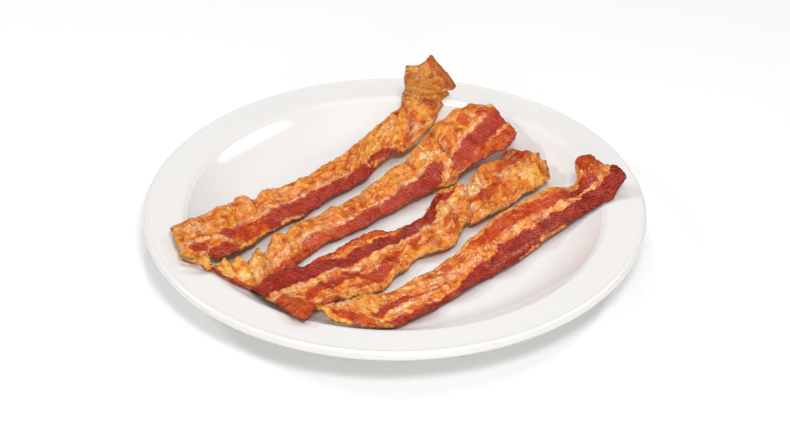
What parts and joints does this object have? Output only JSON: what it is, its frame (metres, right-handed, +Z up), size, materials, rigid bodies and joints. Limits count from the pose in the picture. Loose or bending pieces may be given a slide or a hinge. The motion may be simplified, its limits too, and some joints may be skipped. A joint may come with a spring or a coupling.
{
  "type": "fried bacon strips on a plate",
  "caption": "Crisp fried bacon strips with wavy, frilled edges lying side by side across a round white rimmed plate.",
  "frame": {"origin": "on the table under the plate's centre, at the middle of the foot ring", "axes": "+Z up, +X to the right and +Y away from the viewer, with the strips running from the near left to the far right"},
  "size_m": [0.2286, 0.2286, 0.0482],
  "materials": {
    "glazed_china": "glossy white glaze",
    "fried_bacon": "greasy, amber fat and dark red lean"
  },
  "bodies": {
    "root": {"plate": "glazed_china", "strip_back": "fried_bacon", "strip_mid_back": "fried_bacon", "strip_mid_front": "fried_bacon", "strip_front": "fried_bacon"}
  },
  "joints": []
}
